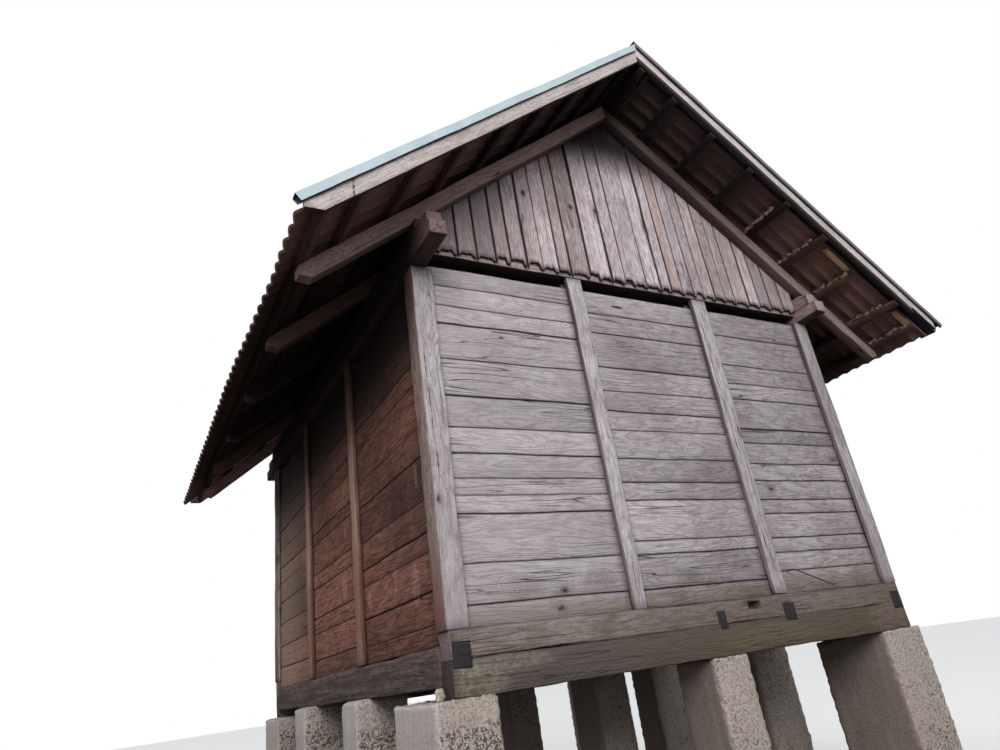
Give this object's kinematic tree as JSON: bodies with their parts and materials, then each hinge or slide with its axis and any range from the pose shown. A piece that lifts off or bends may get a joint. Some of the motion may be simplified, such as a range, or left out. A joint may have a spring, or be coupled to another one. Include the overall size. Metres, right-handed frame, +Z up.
{
  "type": "raised granary",
  "caption": "Timber-framed granary with plank infill walls on stacked sills and concrete piers, under a steep gabled tile roof with projecting verges.",
  "frame": {"origin": "under the middle of the house, at the level of the feet of the piers", "axes": "+Z up, front gable faces -Y, +X to the right of someone who looks at the front gable"},
  "size_m": [4.6027, 4.59, 4.8115],
  "materials": {
    "concrete": "rough cast concrete, pitted and worn at the arrises",
    "sill_wood": "weathered hewn oak, grey with moss stains",
    "post_wood": "weathered silver-grey hewn timber",
    "front_planks": "silver-grey weathered planks with open grain",
    "side_planks": "red-brown unweathered planks",
    "side_post_wood": "brown hewn timber, less weathered",
    "plate_wood": "grey-brown squared timber",
    "gable_boards": "pale weathered vertical boards with rotten ends",
    "rafter_wood": "grey-brown squared timber",
    "batten_wood": "sawn roofing battens",
    "barge_wood": "pale painted barge board, speckled with mildew",
    "floor_wood": "worn floor boards",
    "tile_clay": "dark red-brown fired clay tiles",
    "flashing_metal": "pale blue-grey coated sheet"
  },
  "bodies": {
    "root": {"back_flashing": "flashing_metal", "back_gable": "gable_boards", "back_left_barge_board": "barge_wood", "back_left_post": "post_wood", "back_lower_sill": "sill_wood", "back_piers": "concrete", "back_right_barge_board": "barge_wood", "back_right_post": "post_wood", "back_studs": "post_wood", "back_tie_beam": "plate_wood", "back_upper_sill": "sill_wood", "back_wall": "front_planks", "floor_boards": "floor_wood", "floor_joists": "sill_wood", "front_flashing": "flashing_metal", "front_gable": "gable_boards", "front_left_barge_board": "barge_wood", "front_left_post": "post_wood", "front_lower_sill": "sill_wood", "front_piers": "concrete", "front_right_barge_board": "barge_wood", "front_right_post": "post_wood", "front_studs": "post_wood", "front_tie_beam": "plate_wood", "front_upper_sill": "sill_wood", "front_wall": "front_planks", "left_battens": "batten_wood", "left_lower_plate": "plate_wood", "left_rafters": "rafter_wood", "left_side_sill": "sill_wood", "left_studs": "side_post_wood", "left_tiles": "tile_clay", "left_upper_plate": "plate_wood", "left_wall": "side_planks", "ridge_tiles": "tile_clay", "right_battens": "batten_wood", "right_lower_plate": "plate_wood", "right_rafters": "rafter_wood", "right_side_sill": "sill_wood", "right_studs": "side_post_wood", "right_tiles": "tile_clay", "right_upper_plate": "plate_wood", "right_wall": "side_planks", "second_row_piers": "concrete", "third_row_piers": "concrete"}
  },
  "joints": []
}
